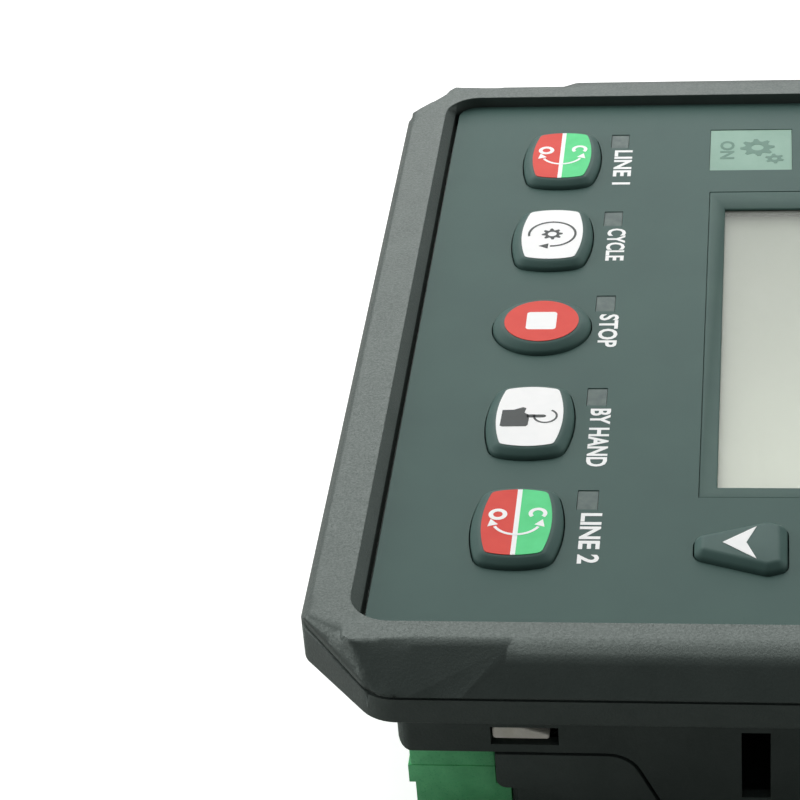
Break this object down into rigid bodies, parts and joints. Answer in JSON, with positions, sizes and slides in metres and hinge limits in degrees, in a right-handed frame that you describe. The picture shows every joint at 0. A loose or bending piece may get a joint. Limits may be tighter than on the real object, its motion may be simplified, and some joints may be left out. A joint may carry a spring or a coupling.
{
  "type": "automatic transfer switch controller",
  "caption": "Flat panel-mount transfer switch controller with a cut-cornered bezel, display window, sprung keys and pluggable terminal rows behind it.",
  "frame": {"origin": "middle of the box on the rest plane, which is the rear cover's flat back", "axes": "+X to the device's right, +Y to its top, +Z out of its face"},
  "size_m": [0.245, 0.184, 0.051],
  "materials": {
    "case_plastic": "fine moulded grain, dark grey-green",
    "sheet_print": "slate print with a fine grain",
    "gasket_rubber": "soft foam rubber",
    "surround_plastic": "slate, fine grain",
    "window_clear": "clear and glossy",
    "display_film": "grey-cream polariser",
    "frame_steel": "blackened",
    "backlight_white": "milky",
    "status_green": "pale green, half clear",
    "pipe_clear": "smoky, half clear",
    "lamp_resin": "yellow resin",
    "key_plastic": "slate, satin",
    "print_red": "printed",
    "print_green": "printed",
    "print_white": "printed",
    "mat_rubber": "translucent silicone",
    "board_green": "solder mask",
    "screw_steel": "zinc plated",
    "spacer_brass": "turned",
    "link_black": "moulded",
    "coil_wrap": "wrapped coil",
    "relay_case": "moulded",
    "can_sleeve": "shrunk sleeve",
    "chip_epoxy": "moulded epoxy",
    "cell_steel": "bright",
    "sealant_cream": "soft cured bead",
    "terminal_green": "half clear green"
  },
  "bodies": {
    "controller": {"front_housing": "case_plastic", "front_sheet": "sheet_print", "panel_gasket": "gasket_rubber", "rear_cover": "case_plastic", "display_surround": "surround_plastic", "display_window": "window_clear", "display_glass": "display_film", "display_frame": "frame_steel", "display_backlight": "backlight_white", "status_window": "status_green", "light_pipes": "pipe_clear", "indicator_lamps": "lamp_resin", "keypad_mat": "mat_rubber", "display_board": "board_green", "display_screws": "screw_steel", "board_spacers": "spacer_brass", "link_socket": "link_black", "link_header": "link_black", "main_board": "board_green", "transformer": "coil_wrap", "relays": "relay_case", "capacitors": "can_sleeve", "processor_chips": "chip_epoxy", "clock_cell": "cell_steel", "slot_sealant": "sealant_cream", "cover_screws": "screw_steel", "terminal_sockets_low": "terminal_green", "terminal_sockets_up": "terminal_green", "terminal_plugs_low": "terminal_green", "terminal_plugs_up": "terminal_green", "terminal_screws": "screw_steel"},
    "source_1_key": {"key_source_1": "key_plastic", "source_1_red": "print_red", "source_1_green": "print_green", "source_1_line": "print_white"},
    "auto_key": {"key_auto": "key_plastic", "auto_face": "print_white"},
    "off_key": {"key_off": "key_plastic", "off_face": "print_red", "off_mark": "print_white"},
    "manual_key": {"key_manual": "key_plastic", "manual_face": "print_white"},
    "source_2_key": {"key_source_2": "key_plastic", "source_2_red": "print_red", "source_2_green": "print_green", "source_2_line": "print_white"},
    "up_key": {"key_up": "key_plastic", "arrow_up": "print_white"},
    "down_key": {"key_down": "key_plastic", "arrow_down": "print_white"},
    "confirm_key": {"key_confirm": "key_plastic"}
  },
  "joints": [
    {"name": "source_1_press", "type": "slide", "parent": "controller", "child": "source_1_key", "axis": [0, 0, -1], "range_m": [0, 0.0008], "stiffness_N_per_m": 2500},
    {"name": "auto_press", "type": "slide", "parent": "controller", "child": "auto_key", "axis": [0, 0, -1], "range_m": [0, 0.0008], "stiffness_N_per_m": 2500},
    {"name": "off_press", "type": "slide", "parent": "controller", "child": "off_key", "axis": [0, 0, -1], "range_m": [0, 0.0008], "stiffness_N_per_m": 2500},
    {"name": "manual_press", "type": "slide", "parent": "controller", "child": "manual_key", "axis": [0, 0, -1], "range_m": [0, 0.0008], "stiffness_N_per_m": 2500},
    {"name": "source_2_press", "type": "slide", "parent": "controller", "child": "source_2_key", "axis": [0, 0, -1], "range_m": [0, 0.0008], "stiffness_N_per_m": 2500},
    {"name": "up_press", "type": "slide", "parent": "controller", "child": "up_key", "axis": [0, 0, -1], "range_m": [0, 0.0008], "stiffness_N_per_m": 2500},
    {"name": "down_press", "type": "slide", "parent": "controller", "child": "down_key", "axis": [0, 0, -1], "range_m": [0, 0.0008], "stiffness_N_per_m": 2500},
    {"name": "confirm_press", "type": "slide", "parent": "controller", "child": "confirm_key", "axis": [0, 0, -1], "range_m": [0, 0.0008], "stiffness_N_per_m": 2500}
  ]
}
